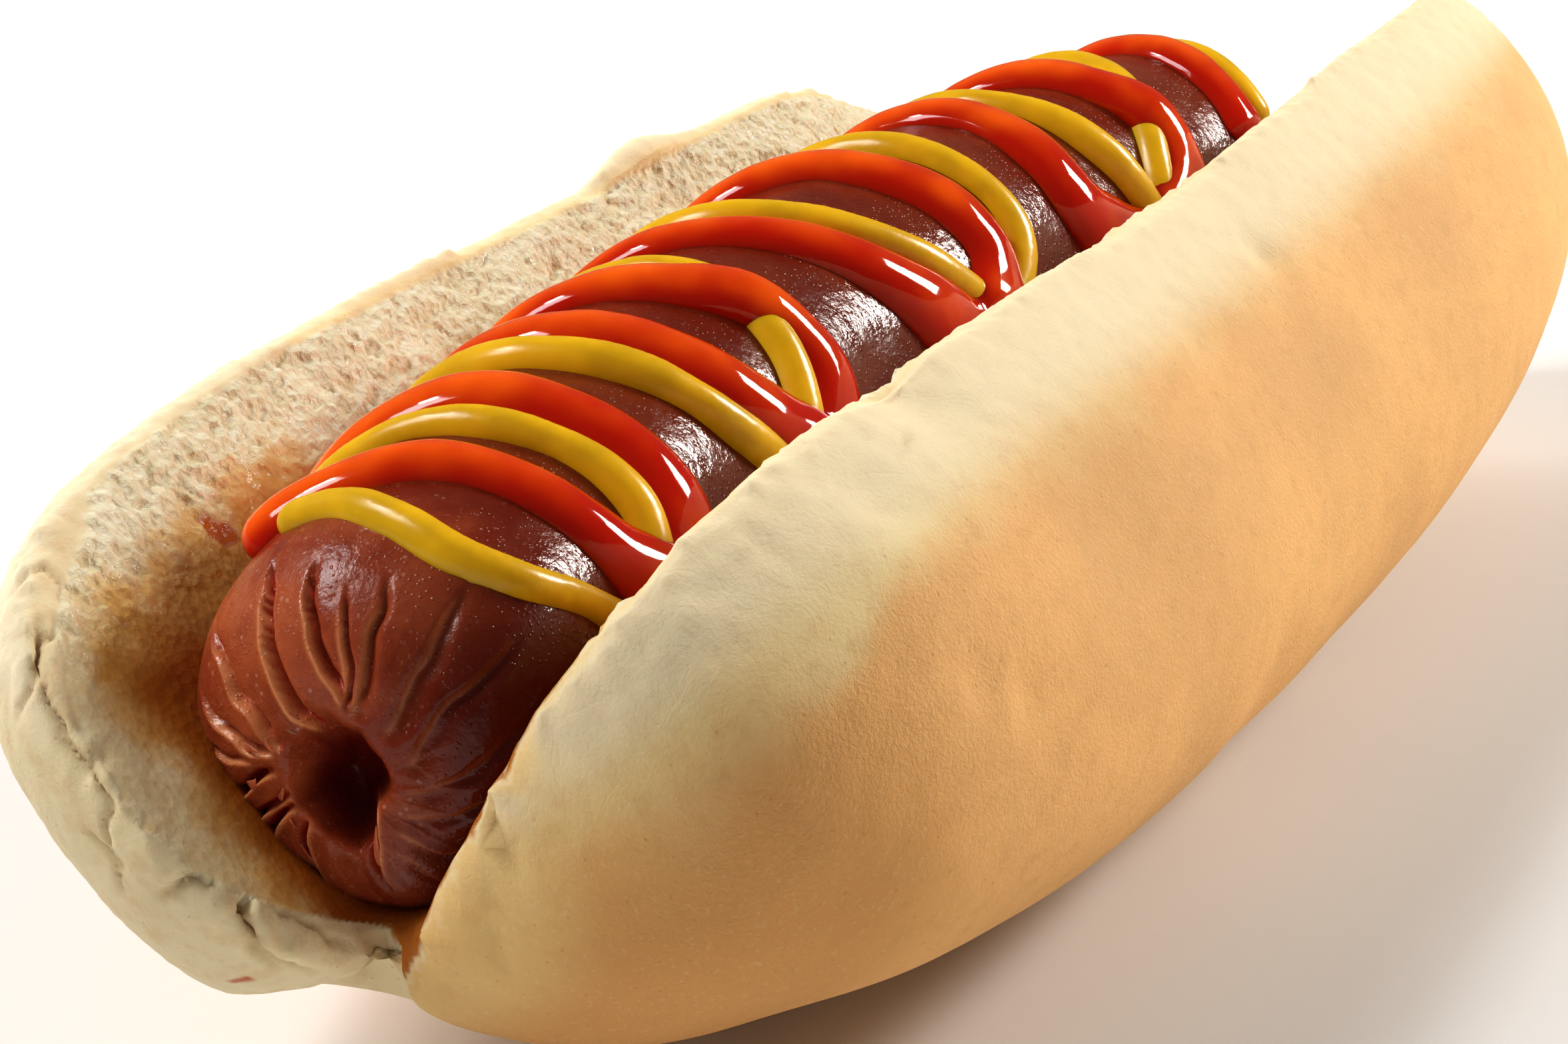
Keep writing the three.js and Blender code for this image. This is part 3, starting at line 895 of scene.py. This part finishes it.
def crack_relief(roll, points, normals):
    """Height of the crust's cracks, fold and dents, and how far down in the cracks a point lies, which sets
    the shade painted into them.
    """
    relief, cracked = np.zeros(len(points)), np.zeros(len(points))
    for index, (line, depth, width) in enumerate(CRACKS):
        near, away, side, fade = beside(points, normals, trace(roll, line, 90 + index), 4)
        lifted = np.exp(-away / 0.8) * ramp(side, 0, 0.3)
        groove = bell(away, 0.7 * width)
        relief[near] += 1.2 * fade * depth * (0.5 * lifted - groove)
        cracked[near] = np.maximum(cracked[near], fade * min(1, 1.4 * depth) * groove)
    near, away, side, fade = beside(points, normals, trace(roll, FOLD, 120), 9)
    relief[near] -= 0.28 * fade * np.tanh(side / 1.2) * bell(away, 5.0)
    for centre, width, height in DENTS:
        relief += height * bell(np.linalg.norm(points - np.array(centre), axis=1), width)
    return relief, cracked


def crust_relief(points, pale):
    """Gentle dents, and wrinkles where the crust is pale."""
    relief = 0.26 * fractal_noise(points, 20, 31, 2) + 0.05 * smooth_noise(points, 8, 33)
    folded = points + 1.6 * drift(points, 5, 36)
    wrinkles = (1 - np.abs(smooth_noise(folded, 6.5, 39))) ** 7
    patchy = ramp(smooth_noise(points, 14, 40), -0.1, 0.5)
    return relief - 0.06 * wrinkles * patchy * pale


def torn_relief(points):
    """Open, torn crumb: nodules with gaps between them, and how deep in a gap a point lies, which sets the
    shade painted into the gaps.
    """
    twisted = points + 0.7 * drift(points, 1.6, 15)
    strands = 1 - np.abs(smooth_noise(twisted, 1.2, 21))
    fine_strands = 1 - np.abs(smooth_noise(twisted, 0.85, 22))
    holes = 0.6 * ramp(smooth_noise(twisted, 1.3, 23), 0.1, 0.6)
    holes += 0.7 * ramp(smooth_noise(twisted, 0.9, 27), 0.0, 0.5)
    relief = 0.40 * fractal_noise(points, 6, 20, 2) + 0.26 * strands ** 3 + 0.20 * fine_strands ** 3
    return relief - 0.22 * holes - 0.1, np.clip(0.9 * holes - 0.5 * strands, 0, 1)


def crumb_share(points, ragged, rim_gap):
    """1 on the crumb and 0 on the crust, with a ragged edge between them."""
    behind, _, right_nearer = roll_masks(points)
    front = ramp(-points[:, 0], *FRONT["crust_edge"]) * ~right_nearer
    edge_gap = np.minimum(*inside_outline(LEFT_HALF, points))
    skinned = 1 - ramp(rim_gap + ragged, 0.2, 2.2)
    skinned = 1.6 * np.maximum(skinned, front * (1 - ramp(edge_gap + ragged, 2, 4)))
    return 1 - ramp(behind + ragged + skinned, 0.0, 0.5)


def baking(points, ragged, right_nearer):
    """How pale the crust stays, and the share of tan low on the right half's near end, where the tan is also
    painted shade.
    """
    forward = -points[:, 0]
    height = points[:, 2] + 1.2 * fractal_noise(points, 5, 51)
    pale_above = np.interp(points[:, 0], *np.array(PALE_ABOVE).T)
    soft = 1.5 + 2.2 * ramp(points[:, 0], -58, -35) + 3.0 * ramp(forward, *FRONT["soft_edge"])
    tanned = ramp(forward, *FRONT["tanned"]) * (1 - ramp(height, 18, 40))
    tip_edge = 1 - ramp(inside_outline(RIGHT_HALF, points)[0] + 1.5 * ragged, 1.0, 4.5)
    cleft_edge = ramp(forward - 0.35 * np.abs(points[:, 1] + 2), *FRONT["pale_cleft"])
    tip_edge = np.maximum(tip_edge, cleft_edge) * ramp(forward, *FRONT["pale_tip"])
    pale_right = np.maximum(ramp(height - pale_above, -soft, soft) * (1 - tanned), tip_edge)
    pale_side = ramp(forward, *FRONT["pale_side"]) * ramp(height, 1, 9)
    pale_left = np.maximum(ramp(height, 27, 37), pale_side)
    pale = np.where(right_nearer & (points[:, 1] < 0), pale_right, pale_left)
    return pale, tanned * right_nearer


def shape_roll(roll):
    """Tears the crumb, dents and cracks the crust, and writes what the material reads."""
    points = read_points(roll)
    _, _, right_nearer = roll_masks(points)
    ragged = 0.45 * fractal_noise(points, 2.6, 11) + 0.3 * smooth_noise(points, 0.9, 12)
    rim_gap = below_rim(points)
    crumb = crumb_share(points, ragged, rim_gap)
    points, pressed = press_frank(points, PRESSED_IN)
    write_points(roll, points)
    normals = read_vectors(roll, "normal")
    level = points[:, 2] + 1.2 * fractal_noise(points, 5, 13, 2)
    from_skin = frank_polar(points)[2] - FRANK["diameter"] / 2
    # Crumb beside the frankfurter's skin: partly grease stain, partly painted shade where the two meet.
    close = (1 - ramp(from_skin, 0.0, 3.4)) * (1 - ramp(-points[:, 0], *FRONT["unstained"]))
    reached = ramp(3 * smooth_noise(points, 5, 14) - points[:, 0], *FRONT["soaked"])
    reached = np.maximum(reached, 1 - ramp(from_skin, 0.0, 5.0))
    shaded = reached * (1 - ramp(level, SMOOTH_BELOW, TORN_ABOVE))
    soaked = reached * (1 - ramp(level, SMOOTH_BELOW, TORN_ABOVE + 3))
    rim = 1 - ramp(rim_gap, 0.3, 1.6)
    pale, tanned = baking(points, ragged, right_nearer)

    torn, gaps = torn_relief(points)
    smooth = shaded * 0.3 * fractal_noise(points, 4.5, 55, 2)
    moved = np.where(pressed, 0, 1) * crumb * ((1 - shaded) * torn + smooth)
    cracks, cracked = crack_relief(roll, points, normals)
    moved = moved + (1 - crumb) * (crust_relief(points, pale) + cracks)
    moved = moved + rim * (0.10 * smooth_noise(points, 1.5, 57) + 0.10 * smooth_noise(points, 0.7, 58))
    grainy = ramp(-points[:, 0], *FRONT["grainy"]) * ~right_nearer * (1 - crumb)
    moved = moved + grainy * (0.07 * smooth_noise(points, 2.2, 61) + 0.05 * smooth_noise(points, 0.8, 62))
    points = points + normals * moved[:, None]
    points[:, 2] = np.maximum(points[:, 2], 0)
    write_points(roll, points)

    smear = np.zeros(len(points))
    for centre, width in SMEARS:
        away = np.linalg.norm(points - np.array(centre), axis=1) + 0.9 * smooth_noise(points, 1.1, 59)
        smear = np.maximum(smear, 1 - ramp(away, 0.5 * width, 1.1 * width))
    # The crumb at the front edge stays unsoaked; its warmer colour there, lighter than the soaked crumb, is
    # partly painted light lifting the shade.
    forward = 1.2 * smooth_noise(points, 4, 17) - points[:, 0]
    drying = 0.6 * ramp(forward, *FRONT["drying"]) * (1 - ramp(points[:, 2], 19, 24))
    dry = np.maximum(ramp(forward, *FRONT["dry"]), drying)
    write_attributes(
        roll, crumb=crumb, gaps=gaps * crumb * (1 - shaded), shaded=shaded * crumb,
        soaked=soaked * crumb * (1 - 0.6 * dry), dry=dry * shaded * crumb, pale=pale, rim=rim,
        smear=smear, cracked=cracked * (1 - crumb), close=close,
        grey=~right_nearer & (points[:, 0] < -40), tanned=tanned,
    )


# ------------------------------------------------------------------ materials


class Nodes:
    """A new material, with short ways to add and link its nodes."""

    def __init__(self, name):
        self.material = bpy.data.materials.new(name)
        self.material.use_nodes = True
        self.tree = self.material.node_tree
        self.shader = self.tree.nodes["Principled BSDF"]
        self.object_place = self.add("ShaderNodeTexCoord").outputs["Object"]

    def add(self, kind, **settings):
        node = self.tree.nodes.new(kind)
        for key, value in settings.items():
            setattr(node, key, value)
        return node

    def feed(self, socket, value):
        """Links the value into the socket, or sets it there if it is a plain one."""
        if isinstance(value, bpy.types.NodeSocket):
            self.tree.links.new(value, socket)
        elif socket.type == "RGBA":
            socket.default_value = (*value, 1.0)
        else:
            socket.default_value = value

    def put(self, node, **inputs):
        for key, value in inputs.items():
            self.feed(node.inputs[key.replace("_", " ")], value)
        return node

    def noise(self, scale, detail, roughness, distortion=0.0):
        node = self.put(
            self.add("ShaderNodeTexNoise"), Vector=self.object_place, Scale=scale,
            Detail=detail, Roughness=roughness, Distortion=distortion,
        )
        return node.outputs["Fac"]

    def voronoi(self, scale):
        node = self.put(self.add("ShaderNodeTexVoronoi"), Vector=self.object_place, Scale=scale)
        return node.outputs["Distance"]

    def remap(self, value, low, high, to_low=0.0, to_high=1.0):
        node = self.add("ShaderNodeMapRange", interpolation_type="SMOOTHSTEP")
        self.put(node, Value=value, From_Min=low, From_Max=high, To_Min=to_low, To_Max=to_high)
        return node.outputs["Result"]

    def math(self, operation, first, second=0.0):
        node = self.add("ShaderNodeMath", operation=operation)
        self.feed(node.inputs[0], first)
        self.feed(node.inputs[1], second)
        return node.outputs[0]

    def attribute(self, name, share=1.0):
        """A value that the mesh carries, times the share."""
        value = self.add("ShaderNodeAttribute", attribute_name=name).outputs["Fac"]
        return value if share == 1 else self.math("MULTIPLY", value, share)

    def mix(self, share, first, second):
        node = self.add("ShaderNodeMix", data_type="RGBA")
        for index, value in ((0, share), (6, first), (7, second)):
            self.feed(node.inputs[index], value)
        return node.outputs[2]

    def paint(self, ground, *coats):
        """The ground's colour under coats, each given as its share and its colour."""
        for share, colour in coats:
            ground = self.mix(share, ground, colour)
        return ground

    def bump(self, height, distance, strength):
        node = self.add("ShaderNodeBump")
        self.put(node, Height=height, Strength=strength, Distance=distance)
        return node.outputs["Normal"]


def shade_of(colour, factor):
    """The colour made lighter or darker."""
    return tuple(min(1, part * factor) for part in colour)


def bread_material(baked_colour):
    n = Nodes("bread")
    crumb, pale = n.attribute("crumb"), n.attribute("pale")
    patch = n.remap(n.noise(55, 4, 0.6), 0.3, 0.7)
    # Tan low on the near end: partly the bake, partly painted shade.
    tanned = n.attribute("tanned", 0.75)
    baked = n.mix(patch, shade_of(baked_colour, 1.05), shade_of(baked_colour, 0.88))
    baked = n.mix(tanned, baked, BREAD["tanned"])
    cream = n.paint(
        n.mix(patch, BREAD["cream"], BREAD["deep_cream"]),
        (n.attribute("grey", 0.8), BREAD["grey_cream"]),
        (tanned, BREAD["tanned_cream"]),
    )
    crust = n.paint(
        n.mix(pale, baked, cream),
        (n.remap(n.noise(600, 3, 0.6), 0.45, 0.75, 0.0, 0.28), BREAD["speckle"]),
        (n.remap(n.noise(2600, 2, 0.5), 0.58, 0.7, 0.0, 0.12), BREAD["flour"]),
        (n.remap(n.voronoi(800), 0.13, 0.05, 0.0, 0.35), BREAD["pore"]),
        (n.attribute("rim", 0.7), BREAD["rim"]),
        # Painted shade, darker down in the crust's cracks.
        (n.attribute("cracked", 0.8), BREAD["crack"]),
    )
    blotches = n.math("MULTIPLY", n.math("SUBTRACT", n.noise(330, 4, 0.65), 0.5), 0.9)
    soaking = n.remap(n.math("ADD", n.attribute("soaked"), blotches), 0.25, 0.9)
    stains = n.remap(n.noise(260, 5, 0.7, 0.4), 0.35, 0.7)
    soaked = n.mix(stains, BREAD["soaked"], BREAD["light_soaked"])
    # Darker beside the frankfurter: partly stain, partly painted contact shade.
    soaked = n.mix(n.attribute("close"), soaked, BREAD["close"])
    inside = n.paint(
        n.mix(n.remap(n.noise(420, 3, 0.6), 0.3, 0.7), BREAD["crumb"], BREAD["deep_crumb"]),
        # Painted shade, darker in the gaps between the crumb's nodules.
        (n.attribute("gaps"), BREAD["gap"]),
        (n.remap(n.noise(1300, 3, 0.6, 0.6), 0.4, 0.62, 0.0, 0.45), BREAD["froth"]),
        # Unsoaked crumb at the front edge, partly painted light lifting its shade.
        (n.attribute("dry", 0.8), BREAD["dry"]),
        (soaking, soaked),
    )
    colour = n.paint(crust, (crumb, inside), (n.attribute("smear"), BREAD["sauce"]))

    moist = n.math("MULTIPLY", n.remap(n.noise(900, 2, 0.5), 0.56, 0.64), crumb)
    moist = n.math("MAXIMUM", moist, n.attribute("smear"))
    grain = n.math("ADD", n.noise(3200, 3, 0.7), n.math("MULTIPLY", n.noise(900, 3, 0.6), 0.25))
    grain = n.math("MULTIPLY", grain, n.remap(pale, 0.0, 1.0, 1.0, 0.45))
    creases = n.math("ABSOLUTE", n.math("SUBTRACT", n.noise(230, 4, 0.55, 1.2), 0.5))
    creases = n.remap(creases, 0.0, 0.05, 1.0, 0.0)
    creases = n.math("MULTIPLY", creases, n.math("MULTIPLY", pale, 0.08))
    crumb_grain = n.math("ADD", n.noise(1500, 3, 0.7), n.voronoi(1400))
    torn = n.math("SUBTRACT", 1.0, n.attribute("shaded"))
    crumb_grain = n.math("MULTIPLY", crumb_grain, n.remap(torn, 0.0, 1.0, 0.25, 1.0))
    normal = n.add("ShaderNodeMix", data_type="VECTOR")
    n.feed(normal.inputs[0], crumb)
    n.feed(normal.inputs[4], n.bump(n.math("SUBTRACT", grain, creases), 0.00024, 0.55))
    n.feed(normal.inputs[5], n.bump(crumb_grain, 0.0005, 0.5))
    n.put(
        n.shader, Base_Color=colour, Roughness=n.remap(moist, 0.0, 1.0, 0.70, 0.24),
        Normal=normal.outputs[1], Subsurface_Weight=0.2, Subsurface_Radius=(1.0, 0.5, 0.2),
        Subsurface_Scale=0.0015, IOR=1.38,
    )
    return n.material


def frankfurter_material():
    n = Nodes("frankfurter")
    flesh = n.paint(
        n.mix(n.remap(n.noise(130, 5, 0.65), 0.3, 0.7), FLESH["dark"], FLESH["light"]),
        # Pale flecks on the skin, partly painted glints of its wet surface.
        (n.remap(n.voronoi(1100), 0.2, 0.06, 0.0, 0.5), FLESH["speck"]),
        # Finer pale flecks, partly painted glints too.
        (n.remap(n.voronoi(2300), 0.26, 0.12, 0.0, 0.22), FLESH["grain"]),
        (n.attribute("dark"), FLESH["shaded"]),
        (n.remap(n.attribute("slit"), 0.05, 0.6), FLESH["slit"]),
        # Paler casing edges beside the pleats, partly painted highlight.
        (n.attribute("lip"), FLESH["lip"]),
        # Painted shade deep in the hole, over its redder flesh.
        (n.attribute("deep"), FLESH["deep"]),
    )
    rough = n.remap(n.noise(300, 3, 0.6), 0.35, 0.65, 0.22, 0.36)
    rough = n.math("SUBTRACT", rough, n.attribute("dark", 0.12))
    rough = n.mix(n.attribute("slit"), rough, (0.2, 0.2, 0.2))
    grain = n.math("ADD", n.noise(1000, 3, 0.65), n.remap(n.voronoi(2300), 0.3, 0.1, 0.0, 0.5))
    n.put(
        n.shader, Base_Color=flesh, Roughness=rough, Normal=n.bump(grain, 0.0002, 0.5),
        Subsurface_Weight=0.3, Subsurface_Radius=(1.0, 0.2, 0.1), Subsurface_Scale=0.0015,
        Specular_IOR_Level=0.32,
    )
    return n.material


def casing_material():
    n = Nodes("casing")
    n.put(
        n.shader, Base_Color=n.mix(n.remap(n.noise(700, 3, 0.6), 0.3, 0.7), *CASING),
        Roughness=0.35, Normal=n.bump(n.noise(1500, 2, 0.5), 0.0001, 0.3),
        Subsurface_Weight=0.6, Subsurface_Radius=(1.0, 0.3, 0.15), Subsurface_Scale=0.001,
    )
    return n.material


def ketchup_material(lit_colour):
    n = Nodes("ketchup")
    # Painted light on the bead's higher parts, painted shade low down and on its side towards -Y.
    lit = n.math("ADD", n.attribute("over", 0.55), n.noise(150, 2, 0.5))
    lit = n.math("SUBTRACT", lit, n.attribute("shaded", 0.35))
    n.put(
        n.shader, Base_Color=n.mix(n.remap(lit, 0.45, 1.2), DEEP_KETCHUP, tuple(lit_colour)),
        Roughness=0.07, Normal=n.bump(n.noise(500, 2, 0.5), 0.0001, 0.12),
        Subsurface_Weight=0.8, Subsurface_Radius=(1.0, 0.12, 0.03), Subsurface_Scale=0.0035,
        IOR=1.38,
    )
    return n.material


def mustard_material(colour):
    n = Nodes("mustard")
    patch = n.remap(n.noise(220, 3, 0.5), 0.35, 0.65)
    n.put(
        n.shader, Base_Color=n.mix(patch, shade_of(colour, 0.9), shade_of(colour, 1.1)),
        Roughness=0.26, Normal=n.bump(n.noise(900, 3, 0.6), 0.0001, 0.25),
        Subsurface_Weight=0.5, Subsurface_Radius=(1.0, 0.6, 0.08), Subsurface_Scale=0.0012,
        IOR=1.4,
    )
    return n.material


# ------------------------------------------------------------------ add-on


class HotDogSettings(bpy.types.PropertyGroup):
    """Sizes that a user would change."""

    crust_detail: bpy.props.FloatProperty(
        name="Crust detail", description="Width of the roll's mesh squares on its crust",
        default=0.00146, min=0.0008, max=0.004, unit="LENGTH", subtype="DISTANCE",
    )
    sauce_detail: bpy.props.FloatProperty(
        name="Sauce detail", description="Width of the sauces' mesh squares",
        default=0.00037, min=0.0003, max=0.002, unit="LENGTH", subtype="DISTANCE",
    )
    crust_colour: bpy.props.FloatVectorProperty(
        name="Baked crust", description="Colour of the crust where it is baked",
        default=(0.86, 0.48, 0.185), min=0, max=1, size=3, unit="NONE", subtype="COLOR",
    )
    ketchup_colour: bpy.props.FloatVectorProperty(
        name="Ketchup", description="Colour of the ketchup where it is thick and lit",
        default=(0.88, 0.15, 0.004), min=0, max=1, size=3, unit="NONE", subtype="COLOR",
    )
    mustard_colour: bpy.props.FloatVectorProperty(
        name="Mustard", description="Colour of the mustard",
        default=(0.72, 0.43, 0.009), min=0, max=1, size=3, unit="NONE", subtype="COLOR",
    )


class HOTDOG_OT_bun(bpy.types.Operator):
    """Model the split roll with its crust and torn crumb"""

    bl_idname = "hotdog.bun"
    bl_label = "Bun"

    def execute(self, context):
        settings = context.scene.hot_dog
        roll = make_roll(settings.crust_detail)
        finish_piece(roll, bread_material(settings.crust_colour), "bun")
        return {"FINISHED"}


class HOTDOG_OT_frankfurter(bpy.types.Operator):
    """Model the frankfurter with its creased, tied end"""

    bl_idname = "hotdog.frankfurter"
    bl_label = "Frankfurter"

    def execute(self, context):
        finish_piece(make_frankfurter(), frankfurter_material(), "sausage")
        finish_piece(make_flaps(), casing_material(), "sausage")
        return {"FINISHED"}


class HOTDOG_OT_sauces(bpy.types.Operator):
    """Lay the bead of mustard, and the bead of ketchup over it"""

    bl_idname = "hotdog.sauces"
    bl_label = "Ketchup and mustard"

    def execute(self, context):
        settings = context.scene.hot_dog
        mustard = make_bead("mustard_bead", MUSTARD, settings.sauce_detail, 61)
        finish_piece(mustard, mustard_material(settings.mustard_colour), "sausage")
        under = bead_points(MUSTARD)[0]
        ketchup = make_bead("ketchup_bead", KETCHUP, settings.sauce_detail, 71, under)
        finish_piece(ketchup, ketchup_material(settings.ketchup_colour), "sausage")
        return {"FINISHED"}


class HOTDOG_OT_stage(bpy.types.Operator):
    """Add the floor, the lights and the camera"""

    bl_idname = "hotdog.stage"
    bl_label = "Stage"

    def execute(self, context):
        make_stage()
        return {"FINISHED"}


class HOTDOG_PT_panel(bpy.types.Panel):
    """Buttons for the pieces, in the sidebar"""

    bl_idname = "HOTDOG_PT_panel"
    bl_label = "Hot Dog"
    bl_space_type = "VIEW_3D"
    bl_region_type = "UI"
    bl_category = "Hot Dog"

    def draw(self, context):
        settings = context.scene.hot_dog
        for name in ("crust_detail", "sauce_detail", "crust_colour", "ketchup_colour", "mustard_colour"):
            self.layout.prop(settings, name)
        for operator in OPERATORS:
            self.layout.operator(operator.bl_idname)


def make_stage():
    clear_selection()
    bpy.ops.mesh.primitive_plane_add(size=6, location=(0, 0, 0))
    floor = bpy.context.object
    floor.name = "floor"
    n = Nodes("floor")
    n.put(n.shader, Base_Color=FLOOR_GREY, Roughness=0.8)
    floor.data.materials.append(n.material)

    world = bpy.data.worlds.new("studio")
    bpy.context.scene.world = world
    world.use_nodes = True
    background = world.node_tree.nodes["Background"]
    background.inputs["Color"].default_value = WORLD_COLOUR
    background.inputs["Strength"].default_value = WORLD_STRENGTH
    for light in LIGHTS:
        add_light(*light)

    bpy.ops.object.camera_add()
    camera = bpy.context.object
    camera.name = "camera"
    forward = Vector(CAMERA["forward"]).normalized()
    right = forward.cross(Vector(CAMERA["up"])).normalized()
    turn = Matrix((right, right.cross(forward), -forward)).transposed()
    camera.matrix_world = Matrix.Translation(Vector(CAMERA["place"]) * MM) @ turn.to_4x4()
    camera.data.lens = CAMERA["lens"]
    camera.data.sensor_width = CAMERA["sensor_width"]
    bpy.context.scene.camera = camera
    bpy.context.scene.view_settings.view_transform = "Standard"
    bpy.context.scene.view_settings.look = "Medium High Contrast"


def add_light(name, place, size, power, colour, in_gloss):
    bpy.ops.object.light_add(type="AREA", location=place)
    light = bpy.context.object
    light.name = name
    light.data.shape = "RECTANGLE"
    light.data.size, light.data.size_y = size
    light.data.energy = power
    light.data.color = colour
    light.visible_glossy = in_gloss
    light.rotation_euler = (Vector(LIT_SPOT) - Vector(place)).to_track_quat("-Z", "Y").to_euler()


OPERATORS = (HOTDOG_OT_bun, HOTDOG_OT_frankfurter, HOTDOG_OT_sauces, HOTDOG_OT_stage)
CLASSES = (HotDogSettings, *OPERATORS, HOTDOG_PT_panel)


def register():
    for cls in CLASSES:
        bpy.utils.register_class(cls)
    bpy.types.Scene.hot_dog = bpy.props.PointerProperty(type=HotDogSettings)


def unregister():
    del bpy.types.Scene.hot_dog
    for cls in reversed(CLASSES):
        bpy.utils.unregister_class(cls)


def main():
    register()
    bpy.ops.hotdog.bun()
    bpy.ops.hotdog.frankfurter()
    bpy.ops.hotdog.sauces()
    bpy.ops.hotdog.stage()


if __name__ == "__main__":
    main()
